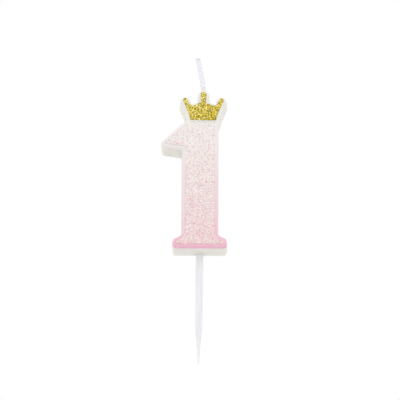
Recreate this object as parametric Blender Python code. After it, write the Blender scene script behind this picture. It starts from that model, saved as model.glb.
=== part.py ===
"""Number birthday candle: a white wax numeral one with a small crown, on a pick.

Metres, +Z up, front towards -Y.  The origin is in the middle of the flat underside of
the foot, where the candle sits down on the icing of a cake.
Run with: blender --background --python part.py
"""

import math

import bmesh
import bpy
from mathutils import Vector

MM = 0.001

# Wax casting ---------------------------------------------------------------
WAX_FRONT = -4.9 * MM          # flat front face of the wax
WAX_BACK = 6.0 * MM            # flat back, poured open and trimmed
EDGE_WIDTH = 1.5 * MM          # rounded front edge, measured across the face
CROWN_EDGE_WIDTH = 1.12 * MM   # the same on the crown, which has no pink coat
CROWN_DRAFT = 0.4 * MM         # the crown widens towards its back, to leave the mould
EDGE_DEPTH = 1.5 * MM          # rounded front edge, measured front to back
BACK_EDGE = 0.5 * MM           # small round on the back edge
EDGE_STEPS = 4                 # facets in each rounded edge

# Numeral: flat face inside the rounded edge
COLUMN_HALF = 6.3 * MM
BASE_HALF = 10.15 * MM
BASE_SHOULDER_Z = 3.1 * MM
BASE_FILLET_Z = 4.8 * MM
BASE_FILLET = 2.85 * MM
NUMERAL_TOP = 55.65 * MM
FLAG_TOP_X = -6.36 * MM
FLAG_TIP = (-15.5 * MM, 47.0 * MM)
FLAG_ROOT_Z = 45.6 * MM
SHARP = 0.3 * MM
TIGHT = 0.15 * MM              # least radius of an inner corner

# Crown: flat face, half of a mirrored outline about its own middle
CROWN_MIDDLE = (1.25 * MM, 63.0 * MM)
CROWN_TILT = math.radians(-0.8)
CROWN_HALF_OUTLINE = (         # across, height, corner radius, in mm
    (5.60, 57.80, 0.50),
    (6.35, 61.20, 18.0),
    (9.05, 67.75, 0.68),
    (7.34, 68.25, 0.68),
    (5.25, 64.05, 1.70),
    (0.95, 66.20, 0.60),
    (1.42, 71.00, 1.15),
)

# Coats ---------------------------------------------------------------------
GAP = 0.1 * MM                 # clearance between neighbouring solids
PINK_THICKNESS = 0.2 * MM
NUMERAL_GLITTER_THICKNESS = 0.4 * MM
CROWN_GLITTER_THICKNESS = 0.45 * MM
GLITTER_INSET = 0.15 * MM      # the glitter stops just short of the edge

# Wick: three plies plaited flat ---------------------------------------------
WICK_BOTTOM = 27.0 * MM
WICK_TOP = 89.1 * MM
PLY_HALF_WIDTH = 0.37 * MM     # each ply is pressed flat in the plait
PLY_HALF_DEPTH = 0.26 * MM
PLY_SIDES = 10
PLAIT_HALF_WIDTH = 0.70 * MM
PLAIT_HALF_DEPTH = 0.42 * MM
PLAIT_PITCH = 5.6 * MM
PLY_POINTS_PER_PITCH = 18
WICK_BORE = 1.42 * MM          # radius of the channel it is cast into
WICK_BORE_SIDES = 14
WICK_ROUTE = (                 # height and sideways place, in mm
    (20.0, 0.10), (40.0, 0.45), (56.0, 1.05), (68.0, 1.60), (73.0, 1.40),
    (77.0, 1.00), (81.0, 0.30), (85.0, -0.35), (90.0, -1.40), (93.0, -2.00),
)

# Pick: moulded strip with a point, barbed where the wax holds it -------------
PICK_SET_BACK = 3.8 * MM       # the pick lies near the poured back
PICK_DEPTH = 2.2 * MM
PICK_CORNER = 0.7 * MM
PICK_CORNER_STEPS = 3
PICK_TOP = 22.0 * MM
PICK_LEAN = 0.006              # sideways run for each unit of height
PICK_NECK_WIDTH = 3.25 * MM
PICK_SHANK = (                 # height, width, depth below the wax, in mm
    (-0.6, 3.25, 2.20),
    (-15.0, 3.08, 2.15),
    (-25.6, 3.00, 2.10),
    (-32.1, 2.80, 2.00),
    (-34.6, 2.45, 1.90),
    (-38.2, 1.80, 1.50),
    (-43.3, 1.05, 0.95),
    (-47.2, 0.62, 0.60),
    (-47.8, 0.30, 0.30),
)
BARB_HEIGHTS = (5.0, 10.0, 15.0)   # mm
BARB_RISE = 1.6                    # mm
BARB_PROUD = 0.55                  # mm, on the width
SOCKET_GAP = 0.15 * MM


def clear_scene():
    """Remove whatever the file opened with."""
    for found in list(bpy.data.objects):
        bpy.data.objects.remove(found, do_unlink=True)


def make_collection(name):
    """A new collection under the scene's own."""
    made = bpy.data.collections.new(name)
    bpy.context.scene.collection.children.link(made)
    return made


def make_material(name, rgb, roughness, metallic=0.0):
    """A Principled material of one colour."""
    material = bpy.data.materials.new(name)
    material.use_nodes = True
    shader = material.node_tree.nodes["Principled BSDF"]
    shader.inputs["Base Color"].default_value = (*rgb, 1.0)
    shader.inputs["Roughness"].default_value = roughness
    shader.inputs["Metallic"].default_value = metallic
    material.diffuse_color = (*rgb, 1.0)
    return material


# Outlines --------------------------------------------------------------------

def numeral_corners():
    """Corners of the numeral's flat face, anticlockwise from the front."""
    return [
        (-BASE_HALF, EDGE_WIDTH, SHARP),
        (BASE_HALF, EDGE_WIDTH, SHARP),
        (BASE_HALF - SHARP, BASE_SHOULDER_Z, SHARP),
        (COLUMN_HALF, BASE_FILLET_Z, BASE_FILLET),
        (COLUMN_HALF, NUMERAL_TOP, SHARP),
        (FLAG_TOP_X, NUMERAL_TOP, SHARP),
        (*FLAG_TIP, SHARP),
        (-COLUMN_HALF, FLAG_ROOT_Z, SHARP),
        (-COLUMN_HALF, BASE_FILLET_Z, BASE_FILLET),
        (-BASE_HALF + SHARP, BASE_SHOULDER_Z, SHARP),
    ]


def crown_corners():
    """Corners of the crown's flat face, anticlockwise from the front."""
    right = [(u * MM, z * MM, r * MM) for u, z, r in CROWN_HALF_OUTLINE]
    left = [(-u, z, r) for u, z, r in reversed(right)]
    turn_cos = math.cos(CROWN_TILT)
    turn_sin = math.sin(CROWN_TILT)
    middle_x, middle_z = CROWN_MIDDLE
    corners = []
    for across, height, radius in right + left:
        rise = height - middle_z
        corners.append((
            middle_x + across * turn_cos - rise * turn_sin,
            middle_z + across * turn_sin + rise * turn_cos,
            radius,
        ))
    return corners


def edge_normal(start, end):
    """Outward unit normal of an edge of an anticlockwise outline."""
    along = (Vector(end[:2]) - Vector(start[:2])).normalized()
    return Vector((along.y, -along.x))


def grown(corners, amount):
    """The outline with every edge moved outwards by amount."""
    result = []
    count = len(corners)
    for i, (x, z, radius) in enumerate(corners):
        before = edge_normal(corners[i - 1], corners[i])
        after = edge_normal(corners[i], corners[(i + 1) % count])
        shift = (before + after) * (amount / (1.0 + before.dot(after)))
        convex = before.x * after.y - before.y * after.x > 0.0
        new_radius = max(radius + (amount if convex else -amount), TIGHT)
        result.append((x + shift.x, z + shift.y, new_radius))
    return result


def outline_points(corners, steps=EDGE_STEPS):
    """The outline's points, each corner turned into an arc of steps facets."""
    points = []
    count = len(corners)
    for i, (x, z, radius) in enumerate(corners):
        corner = Vector((x, z))
        to_before = (Vector(corners[i - 1][:2]) - corner).normalized()
        to_after = (Vector(corners[(i + 1) % count][:2]) - corner).normalized()
        half = math.acos(max(-1.0, min(1.0, to_before.dot(to_after)))) / 2.0
        centre = corner + (to_before + to_after).normalized() * (radius / math.sin(half))
        reach = radius / math.tan(half)
        first = corner + to_before * reach - centre
        last = corner + to_after * reach - centre
        sweep = first.angle_signed(last)
        for k in range(steps + 1):
            turn = -sweep * k / steps
            arm = Vector((
                first.x * math.cos(turn) - first.y * math.sin(turn),
                first.x * math.sin(turn) + first.y * math.cos(turn),
            ))
            points.append(centre + arm)
    return points


# Solids ----------------------------------------------------------------------

def lofted(name, rings, collection):
    """A closed solid through rings of equally many points, flat at both ends."""
    mesh = bpy.data.meshes.new(name)
    work = bmesh.new()
    loops = [[work.verts.new(point) for point in ring] for ring in rings]
    for lower, upper in zip(loops, loops[1:]):
        for i in range(len(lower)):
            j = (i + 1) % len(lower)
            work.faces.new((lower[i], lower[j], upper[j], upper[i]))
    work.faces.new(list(reversed(loops[0])))
    work.faces.new(loops[-1])
    bmesh.ops.recalc_face_normals(work, faces=work.faces)
    work.to_mesh(mesh)
    work.free()
    mesh.shade_smooth()
    mesh.set_sharp_from_angle(angle=math.radians(35.0))
    made = bpy.data.objects.new(name, mesh)
    collection.objects.link(made)
    return made


def upright_ring(corners, growth, depth):
    """One section of a plate that stands in the XZ plane, at Y = depth."""
    return [(p.x, depth, p.y) for p in outline_points(grown(corners, growth))]


def front_edge(front, width, depth):
    """Growth and Y of each ring of a rounded front edge, side to face."""
    levels = []
    for k in range(EDGE_STEPS, -1, -1):
        angle = 0.5 * math.pi * k / EDGE_STEPS
        levels.append((width * math.sin(angle), front + depth * (1.0 - math.cos(angle))))
    return levels


def wax_plate(name, corners, edge_width, draft, rebate, extra, collection):
    """A plate with a rounded front edge, grown all round by extra.

    Its side wall leans out by draft towards the back.  A rebate lets the front edge in
    from the side wall, to leave room for a coat.
    """
    width = edge_width + extra
    wide = width + draft
    levels = [
        (wide - BACK_EDGE, WAX_BACK + extra),
        (wide - BACK_EDGE * 0.3, WAX_BACK + extra - BACK_EDGE * 0.3),
        (wide, WAX_BACK + extra - BACK_EDGE),
    ]
    if rebate > 0.0:
        levels.append((width, WAX_FRONT + EDGE_DEPTH))
    levels += front_edge(WAX_FRONT - extra, width - rebate, EDGE_DEPTH + extra)
    rings = [upright_ring(corners, growth, y) for growth, y in levels]
    return lofted(name, rings, collection)


def face_slab(name, corners, inset, back, thickness, collection):
    """A thin coat on a flat face, with a softened front edge."""
    soft = thickness * 0.4
    levels = [
        (-inset, back),
        (-inset, back - thickness + soft),
        (-inset - soft * 0.3, back - thickness + soft * 0.3),
        (-inset - soft, back - thickness),
    ]
    rings = [upright_ring(corners, growth, y) for growth, y in levels]
    return lofted(name, rings, collection)


def edge_shell(name, corners, thickness, collection):
    """A skin over a flat face and its rounded edge, flush with the side walls."""
    inner = front_edge(WAX_FRONT - GAP, EDGE_WIDTH - thickness, EDGE_DEPTH)
    outer = front_edge(WAX_FRONT - GAP - thickness, EDGE_WIDTH, EDGE_DEPTH + thickness)
    levels = list(reversed(inner)) + outer
    rings = [upright_ring(corners, growth, y) for growth, y in levels]
    return lofted(name, rings, collection)


def cut_or_join(target, operand, operation):
    """Add an exact Boolean to target."""
    modifier = target.modifiers.new(operand.name, "BOOLEAN")
    modifier.operation = operation
    modifier.solver = "EXACT"
    modifier.object = operand


def as_guide(guide):
    """Show a cutting or joining body as wire only."""
    guide.display_type = "WIRE"
    guide.hide_render = True


# Wick ------------------------------------------------------------------------

def wick_place(height):
    """Sideways place of the wick's middle, smooth through the route's points."""
    route = [(z * MM, x * MM) for z, x in WICK_ROUTE]
    slopes = []
    for i in range(len(route)):
        low = route[max(i - 1, 0)]
        high = route[min(i + 1, len(route) - 1)]
        slopes.append((high[1] - low[1]) / (high[0] - low[0]))
    i = max(k for k in range(len(route) - 1) if route[k][0] <= height)
    span = route[i + 1][0] - route[i][0]
    t = (height - route[i][0]) / span
    return (
        (2 * t**3 - 3 * t**2 + 1) * route[i][1]
        + (t**3 - 2 * t**2 + t) * span * slopes[i]
        + (3 * t**2 - 2 * t**3) * route[i + 1][1]
        + (t**3 - t**2) * span * slopes[i + 1]
    )


def ply_points(index):
    """Middle line of one ply of the plait."""
    length = WICK_TOP - WICK_BOTTOM
    count = round(length / PLAIT_PITCH * PLY_POINTS_PER_PITCH)
    points = []
    for k in range(count + 1):
        height = WICK_BOTTOM + length * k / count
        turn = 2.0 * math.pi * ((height - WICK_BOTTOM) / PLAIT_PITCH + index / 3.0)
        points.append((
            wick_place(height) + PLAIT_HALF_WIDTH * math.sin(turn),
            PLAIT_HALF_DEPTH * math.sin(2.0 * turn),
            height,
        ))
    return points


def ply_ring(points, k):
    """Section of a ply at its k-th point: an ellipse, wide in the XZ plane."""
    before = Vector(points[max(k - 1, 0)])
    after = Vector(points[min(k + 1, len(points) - 1)])
    along = (after - before).normalized()
    wide = Vector((0.0, 1.0, 0.0)).cross(along).normalized() * PLY_HALF_WIDTH
    deep = along.cross(wide).normalized() * PLY_HALF_DEPTH
    ring = []
    for side in range(PLY_SIDES):
        turn = 2.0 * math.pi * side / PLY_SIDES
        ring.append(Vector(points[k]) + wide * math.cos(turn) + deep * math.sin(turn))
    return ring


def wick_ply(index, collection):
    """One cotton ply."""
    points = ply_points(index)
    rings = [ply_ring(points, k) for k in range(len(points))]
    return lofted(f"wick_ply_{index + 1}", rings, collection)


def wick_channel(collection):
    """The space that the wick takes up in the wax, open at the top."""
    bottom = WICK_BOTTOM - 2.0 * SOCKET_GAP
    top = 76.0 * MM
    steps = 16
    rings = []
    for k in range(steps + 1):
        height = bottom + (top - bottom) * k / steps
        middle = wick_place(height)
        ring = []
        for side in range(WICK_BORE_SIDES):
            turn = 2.0 * math.pi * side / WICK_BORE_SIDES
            ring.append((
                middle + WICK_BORE * math.cos(turn),
                WICK_BORE * math.sin(turn),
                height,
            ))
        rings.append(ring)
    return lofted("wick_channel_cutter", rings, collection)


# Pick ------------------------------------------------------------------------

def pick_levels():
    """Height, width and depth of the pick's sections, from the top down."""
    neck = PICK_NECK_WIDTH / MM
    deep = PICK_DEPTH / MM
    levels = [(PICK_TOP / MM, neck - 0.9, deep - 0.5), (PICK_TOP / MM - 0.8, neck, deep)]
    for height in reversed(BARB_HEIGHTS):
        levels.append((height + BARB_RISE, neck, deep))
        levels.append((height + 0.25, neck + BARB_PROUD, deep))
        levels.append((height, neck + BARB_PROUD, deep))
        levels.append((height - 0.25, neck, deep))
    return levels + list(PICK_SHANK)


def pick_ring(height, width, depth):
    """A section of the pick: a rectangle with round corners."""
    radius = min(PICK_CORNER, 0.48 * width, 0.48 * depth)
    half_w = width / 2.0
    half_d = depth / 2.0
    corners = [
        (-half_w, -half_d, radius), (half_w, -half_d, radius),
        (half_w, half_d, radius), (-half_w, half_d, radius),
    ]
    middle = PICK_LEAN * height
    points = outline_points(corners, PICK_CORNER_STEPS)
    return [(middle + p.x, PICK_SET_BACK + p.y, height) for p in points]


def cake_pick(collection):
    """The moulded pick, from its barbed top to its point."""
    rings = [pick_ring(z * MM, w * MM, d * MM) for z, w, d in pick_levels()]
    return lofted("cake_pick", rings, collection)


def pick_socket(collection):
    """The space that the pick takes up in the wax, open at the underside."""
    levels = [level for level in pick_levels() if level[0] > 0.0]
    top_z, top_w, top_d = levels[0]
    levels[0] = (top_z + SOCKET_GAP / MM, top_w, top_d)
    levels.append((-1.0, PICK_NECK_WIDTH / MM, PICK_DEPTH / MM))
    room = 2.0 * SOCKET_GAP
    rings = [pick_ring(z * MM, w * MM + room, d * MM + room) for z, w, d in levels]
    return lofted("pick_socket_cutter", rings, collection)


# Assembly --------------------------------------------------------------------

def build():
    """Make every piece of the candle."""
    clear_scene()
    parts = make_collection("number_birthday_candle")
    guides = make_collection("candle_cutters")

    white_wax = make_material("white_wax", (0.90, 0.89, 0.86), 0.45)
    pink_wax = make_material("pink_wax_coat", (0.88, 0.52, 0.64), 0.40)
    pearl_glitter = make_material("pearl_glitter", (0.86, 0.72, 0.72), 0.30, 0.2)
    gold_glitter = make_material("gold_glitter", (0.68, 0.50, 0.12), 0.28, 0.9)
    waxed_cotton = make_material("waxed_cotton", (0.86, 0.86, 0.88), 0.70)
    white_plastic = make_material("white_polypropylene", (0.88, 0.88, 0.90), 0.35)

    numeral = numeral_corners()
    crown = crown_corners()

    body = wax_plate(
        "wax_body", numeral, EDGE_WIDTH, 0.0, GAP + PINK_THICKNESS, 0.0, parts)
    body.data.materials.append(white_wax)
    crown_plate = wax_plate(
        "crown_plate", crown, CROWN_EDGE_WIDTH, CROWN_DRAFT, 0.0, 0.0, guides)
    channel = wick_channel(guides)
    socket = pick_socket(guides)
    cut_or_join(body, crown_plate, "UNION")
    cut_or_join(body, channel, "DIFFERENCE")
    cut_or_join(body, socket, "DIFFERENCE")

    pink_coat = edge_shell("pink_wax_coat", numeral, PINK_THICKNESS, parts)
    pink_coat.data.materials.append(pink_wax)
    crown_room = wax_plate(
        "crown_room_cutter", crown, CROWN_EDGE_WIDTH, CROWN_DRAFT, 0.0, 2.0 * GAP, guides)
    cut_or_join(pink_coat, crown_room, "DIFFERENCE")

    numeral_glitter = face_slab(
        "numeral_glitter_coat", numeral, GLITTER_INSET,
        WAX_FRONT - 2.0 * GAP - PINK_THICKNESS, NUMERAL_GLITTER_THICKNESS, parts)
    numeral_glitter.data.materials.append(pearl_glitter)

    crown_glitter = face_slab(
        "crown_glitter_coat", crown, GLITTER_INSET,
        WAX_FRONT - GAP, CROWN_GLITTER_THICKNESS, parts)
    crown_glitter.data.materials.append(gold_glitter)

    for index in range(3):
        wick_ply(index, parts).data.materials.append(waxed_cotton)

    cake_pick(parts).data.materials.append(white_plastic)

    for guide in (crown_plate, channel, socket, crown_room):
        as_guide(guide)


build()
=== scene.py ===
import logging
import math
from dataclasses import dataclass
from enum import Enum

import bmesh
import bpy
import numpy as np
from mathutils import Matrix, Vector, noise
from mathutils.kdtree import KDTree


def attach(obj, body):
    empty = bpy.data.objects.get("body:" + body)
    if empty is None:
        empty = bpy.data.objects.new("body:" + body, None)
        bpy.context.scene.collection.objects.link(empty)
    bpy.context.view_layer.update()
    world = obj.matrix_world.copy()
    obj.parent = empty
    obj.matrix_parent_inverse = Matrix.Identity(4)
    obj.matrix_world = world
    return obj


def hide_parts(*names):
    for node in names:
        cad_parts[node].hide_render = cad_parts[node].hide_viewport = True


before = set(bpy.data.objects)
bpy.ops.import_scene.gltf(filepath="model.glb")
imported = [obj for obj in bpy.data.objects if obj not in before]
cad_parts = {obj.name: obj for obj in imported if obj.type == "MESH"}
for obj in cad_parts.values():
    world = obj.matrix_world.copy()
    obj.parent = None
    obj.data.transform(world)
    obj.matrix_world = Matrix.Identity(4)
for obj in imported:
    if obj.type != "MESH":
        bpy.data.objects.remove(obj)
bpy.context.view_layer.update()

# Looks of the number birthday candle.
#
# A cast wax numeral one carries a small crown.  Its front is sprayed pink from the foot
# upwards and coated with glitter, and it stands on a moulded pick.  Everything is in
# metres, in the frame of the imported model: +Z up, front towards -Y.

log = logging.getLogger("candle")

MM = 0.001
ROOT = "root"
MERGE = 1e-7                         # metres, closes seams and nothing else
FULL_TURN = 2.0 * math.pi
MIX_FIRST, MIX_SECOND, MIX_RESULT = 6, 7, 2      # colour sockets of a Mix node

Colour = tuple[float, float, float, float]
Span = tuple[float, float]
Stops = tuple[tuple[float, str], ...]
Point = tuple[float, float, float]
Ring = list[Vector]
Rows = np.ndarray
Chance = np.random.Generator
Material, Mesh, Object = bpy.types.Material, bpy.types.Mesh, bpy.types.Object
Sockets = bpy.types.bpy_prop_collection
Socket, Tree = bpy.types.NodeSocket, bpy.types.NodeTree
Work = bmesh.types.BMesh


class Slot(Enum):
    """Material slots of the record."""

    WHITE_WAX = "white_wax"
    PINK_WAX = "pink_wax"
    PEARL = "pearl_glitter"
    GOLD = "gold_glitter"
    COTTON = "waxed_cotton"
    PLASTIC = "white_plastic"


# Nodes ------------

def linear(code: str) -> Colour:
    """Turn an sRGB hex code into a linear colour.

    Args:
        code: Seven characters, such as "#F4EFE8".

    Returns:
        Red, green, blue and an alpha of 1.
    """
    parts = [int(code[i:i + 2], 16) / 255.0 for i in (1, 3, 5)]
    red, green, blue = (
        p / 12.92 if p <= 0.04045 else ((p + 0.055) / 1.055) ** 2.4 for p in parts)
    return (red, green, blue, 1.0)


def add_node(tree: Tree, kind: str, inputs: dict | None = None,
             stops: Stops = (), **settings) -> bpy.types.Node:
    """Add a node with its settings and links.

    Args:
        tree: The material's or world's node tree.
        kind: Blender's name of the node type.
        inputs: Socket name or number to a value, or to the output it is linked from.
        stops: Places and hex colours, for a node with a colour ramp.
        **settings: Attributes of the node.

    Returns:
        The new node.
    """
    node = tree.nodes.new(kind)
    for name, value in settings.items():
        setattr(node, name, value)
    for socket, value in (inputs or {}).items():
        if isinstance(value, Socket):
            tree.links.new(value, node.inputs[socket])
        else:
            node.inputs[socket].default_value = value
    if stops:
        elements = node.color_ramp.elements
        while len(elements) < len(stops):
            elements.new(1.0)
        for element, (place, code) in zip(elements, stops):
            element.position = place
            element.color = linear(code)
    return node


def coordinates_in(tree: Tree) -> Sockets:
    """Outputs of a new texture coordinate node."""
    return add_node(tree, "ShaderNodeTexCoord").outputs


def axes_of(tree: Tree, vector: Socket) -> Sockets:
    """X, Y and Z of a vector."""
    return add_node(tree, "ShaderNodeSeparateXYZ", {"Vector": vector}).outputs


def noise_in(tree: Tree, place: Socket, spacing_mm: float, detail: float) -> Socket:
    """Noise from 0 to 1 that changes once in each spacing, in real millimetres."""
    return add_node(tree, "ShaderNodeTexNoise", {
        "Vector": place, "Scale": 1.0 / (spacing_mm * MM), "Detail": detail}).outputs["Fac"]


def drawn_out(tree: Tree, place: Socket, share: float) -> Socket:
    """Places whose pattern is stretched along Z."""
    return add_node(tree, "ShaderNodeMapping", {
        "Vector": place, "Scale": (1.0, 1.0, share)}).outputs["Vector"]


def ramp(tree: Tree, value: Socket, stops: Stops) -> Socket:
    """Colour of a value between stops."""
    return add_node(tree, "ShaderNodeValToRGB", {"Fac": value}, stops=stops).outputs["Color"]


def bump(tree: Tree, height: Socket, depth_mm: float, under: Socket | None = None) -> Socket:
    """Normal of a relief, whose depth is in real millimetres, on a coarser one under it."""
    inputs = {"Height": height, "Strength": 1.0, "Distance": depth_mm * MM}
    if under is not None:
        inputs["Normal"] = under
    return add_node(tree, "ShaderNodeBump", inputs).outputs["Normal"]


def mapped(tree: Tree, value: Socket, source: Span = (0.0, 1.0),
           target: Span = (0.0, 1.0), soft: bool = False) -> Socket:
    """Map a value from one range to another, and ease it at the ends if it is soft."""
    return add_node(
        tree, "ShaderNodeMapRange", {
            "Value": value, "From Min": source[0], "From Max": source[1],
            "To Min": target[0], "To Max": target[1]},
        interpolation_type="SMOOTHSTEP" if soft else "LINEAR").outputs["Result"]


def worked_out(tree: Tree, operation: str, *values: Socket | float) -> Socket:
    """Result of a Math node."""
    return add_node(tree, "ShaderNodeMath", dict(enumerate(values)),
                    operation=operation).outputs[0]


def blended(tree: Tree, share: Socket, first: Socket | Colour,
            second: Socket | Colour) -> Socket:
    """Colour between two others."""
    return add_node(
        tree, "ShaderNodeMix", {"Factor": share, MIX_FIRST: first, MIX_SECOND: second},
        data_type="RGBA").outputs[MIX_RESULT]


# Meshes ------------

def smooth_step(low: float, high: float, value: Rows | float) -> Rows | float:
    """Ease from 0 at low to 1 at high."""
    t = np.clip((value - low) / (high - low), 0.0, 1.0)
    return t * t * (3.0 - 2.0 * t)


def rows_of(mesh: Mesh, what: str) -> Rows:
    """Vertex places ("co") or normals ("normal") as an array of rows."""
    flat = np.empty(len(mesh.vertices) * 3)
    mesh.vertices.foreach_get(what, flat)
    return flat.reshape(-1, 3)


def move_points(mesh: Mesh, places: Rows) -> None:
    """Put every vertex at its row of places."""
    mesh.vertices.foreach_set("co", places.astype(np.float32).ravel())
    mesh.update()


def noise_at(places: Rows, spacing: float, seed: float) -> Rows:
    """Smooth noise from about -1 to 1.

    Args:
        places: Rows of points, in metres.
        spacing: Size of the noise's bumps, in metres.
        seed: Moves the pattern to another part of the noise.

    Returns:
        One value for each row.
    """
    shift = Vector((seed * 7.3, seed * 3.1, seed * 11.7))
    return np.array([noise.noise(Vector(p) / spacing + shift) for p in places])


def noise_along(height: float, spacing: float, lane: float) -> float:
    """Smooth noise along Z, with a pattern of its own for each lane."""
    return noise.noise(Vector((lane, 0.0, height / spacing)))


def oval(middle: Vector | Point, wide: float, deep: float, count: int) -> Ring:
    """A level ring of points, given by half its width and half its depth."""
    x, y, z = middle
    return [Vector((x + wide * math.cos(a), y + deep * math.sin(a), z))
            for a in (FULL_TURN * k / count for k in range(count))]


def new_object(name: str, mesh: Mesh) -> Object:
    """Link an object with this mesh into the scene."""
    made = bpy.data.objects.new(name, mesh)
    bpy.context.scene.collection.objects.link(made)
    return made


def settle(piece: Object, slot: Slot, *nodes: str) -> None:
    """Fix a finished piece to the frame, for the CAD nodes that it stands for."""
    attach(piece, ROOT)
    if nodes:
        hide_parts(*nodes)
    log.info("%s: %d faces for %s", piece.name, len(piece.data.polygons), slot.value)


def dressed(name: str, mesh: Mesh, material: Material, slot: Slot, *nodes: str) -> Object:
    """Settle a mesh as a smooth piece in one finish."""
    mesh.polygons.foreach_set("use_smooth", [True] * len(mesh.polygons))
    mesh.materials.append(material)
    piece = new_object(name, mesh)
    settle(piece, slot, *nodes)
    return piece


def modified(name: str, mesh: Mesh, kind: str, **settings) -> Mesh:
    """Mesh that one modifier makes of another, which is removed."""
    holder = new_object(name + "_rough", mesh)
    modifier = holder.modifiers.new("work", kind)
    for setting, value in settings.items():
        setattr(modifier, setting, value)
    graph = bpy.context.evaluated_depsgraph_get()
    made = bpy.data.meshes.new_from_object(holder.evaluated_get(graph))
    bpy.data.objects.remove(holder)
    bpy.data.meshes.remove(mesh)
    made.name = name
    return made


def mesh_of(name: str, work: Work) -> Mesh:
    """Mesh of the finished work, which is freed."""
    mesh = bpy.data.meshes.new(name)
    work.to_mesh(mesh)
    work.free()
    return mesh


def lofted(work: Work, rings: list[Ring]) -> None:
    """Add a closed skin through rings of equally many points.

    Args:
        work: Mesh that the skin is added to.
        rings: The sections in order. The first and last are closed with a fan.
    """
    loops = [[work.verts.new(p) for p in ring] for ring in rings]
    count = len(loops[0])
    for lower, upper in zip(loops, loops[1:]):
        for i in range(count):
            j = (i + 1) % count
            work.faces.new((lower[i], lower[j], upper[j], upper[i]))
    for loop, turned in ((loops[0], True), (loops[-1], False)):
        middle = work.verts.new(sum((v.co for v in loop), Vector()) / count)
        for i in range(count):
            j = (i + 1) % count
            corner = (loop[j], loop[i]) if turned else (loop[i], loop[j])
            work.faces.new((*corner, middle))


def skinned(name: str, tubes: list[list[Ring]], material: Material, slot: Slot,
            *nodes: str) -> None:
    """Close each tube, a list of sections, and settle them as one smooth piece."""
    work = bmesh.new()
    for rings in tubes:
        lofted(work, rings)
    bmesh.ops.recalc_face_normals(work, faces=work.faces)
    dressed(name, mesh_of(name, work), material, slot, *nodes)


def add_copy(work: Work, node: str, shift: float = 0.0) -> None:
    """Add a CAD node's mesh, seams closed, and shift it towards the back."""
    before = len(work.verts)
    work.from_mesh(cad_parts[node].data)
    work.verts.ensure_lookup_table()
    bmesh.ops.remove_doubles(work, verts=work.verts[before:], dist=MERGE)
    if shift:
        work.verts.ensure_lookup_table()
        for vert in work.verts[before:]:
            vert.co.y += shift


def regrained(name: str, work: Work, grain: float, rounds: int) -> Mesh:
    """Turn overlapping closed skins into one evenly fine skin.

    The skins are scaled to millimetres for the voxel grid, and back to metres after it.

    Args:
        name: The new mesh's name.
        work: The closed skins. It is freed.
        grain: Size of a face, in metres.
        rounds: Rounds of smoothing that keeps the volume.

    Returns:
        The mesh, all quads.
    """
    bmesh.ops.recalc_face_normals(work, faces=work.faces)
    bmesh.ops.scale(work, vec=(1.0 / MM,) * 3, verts=work.verts)
    mesh = modified(name, mesh_of(name + "_rough", work), "REMESH",
                    mode="VOXEL", voxel_size=grain / MM)
    move_points(mesh, evened(mesh, rows_of(mesh, "co") * MM, rounds))
    return mesh


def evened(mesh: Mesh, places: Rows, rounds: int) -> Rows:
    """Smooth a mesh's points and keep its volume.

    Args:
        mesh: Gives the edges.
        places: The points to smooth.
        rounds: Each round pulls the points together and then lets them back out.

    Returns:
        The smoothed points.
    """
    pull, release = 0.50, -0.52
    ends = np.empty(len(mesh.edges) * 2, dtype=np.int64)
    mesh.edges.foreach_get("vertices", ends)
    one, two = ends[0::2], ends[1::2]
    count = len(places)
    degree = np.maximum(np.bincount(ends, minlength=count), 1)
    for _ in range(rounds):
        for share in (pull, release):
            for axis in range(3):
                row = places[:, axis]
                total = (np.bincount(one, weights=row[two], minlength=count)
                         + np.bincount(two, weights=row[one], minlength=count))
                places[:, axis] = row + share * (total / degree - row)
    return places


# Finishes ------------

@dataclass(frozen=True)
class Finish:
    """A finish. Each kind says what its shader is fed."""

    name: str

    def shading(self, tree: Tree) -> dict:
        """Inputs of the Principled shader, with the nodes that feed them."""
        raise NotImplementedError

    def material(self) -> Material:
        """Make the material."""
        material = bpy.data.materials.new(self.name)
        material.use_nodes = True
        tree = material.node_tree
        tree.nodes.clear()
        shader = add_node(tree, "ShaderNodeBsdfPrincipled", self.shading(tree))
        add_node(tree, "ShaderNodeOutputMaterial", {"Surface": shader.outputs[0]})
        return material


@dataclass(frozen=True)
class CastParaffin(Finish):
    """White paraffin wax, poured into a soft mould.

    Light goes a few millimetres into it and comes back warm, so its edges glow a
    little and its shine is soft.  The mould leaves a fine skin.
    """

    name: str = "paraffin_cast_white"
    clouds: Stops = ((0.35, "#EDE9E1"), (0.65, "#F2EFE7"))
    cloud_mm: float = 9.0
    skin_mm: float = 0.55
    skin_depth_mm: float = 0.010
    ripple_mm: float = 3.2
    ripple_depth_mm: float = 0.020
    roughness: Span = (0.38, 0.50)
    ior: float = 1.44
    glow: float = 0.5
    reach_mm: Point = (2.0, 1.8, 1.5)

    def shading(self, tree: Tree) -> dict:
        """Cloudy wax with a rippled, grainy skin."""
        place = coordinates_in(tree)["Object"]
        cloud = noise_in(tree, place, self.cloud_mm, 3.0)
        waves = bump(tree, noise_in(tree, place, self.ripple_mm, 1.0), self.ripple_depth_mm)
        skin = noise_in(tree, place, self.skin_mm, 2.0)
        return {
            "Base Color": ramp(tree, cloud, self.clouds),
            "Roughness": mapped(tree, cloud, target=self.roughness), "IOR": self.ior,
            "Subsurface Weight": self.glow, "Subsurface Radius": self.reach_mm,
            "Subsurface Scale": MM, "Normal": bump(tree, skin, self.skin_depth_mm, waves)}


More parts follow.
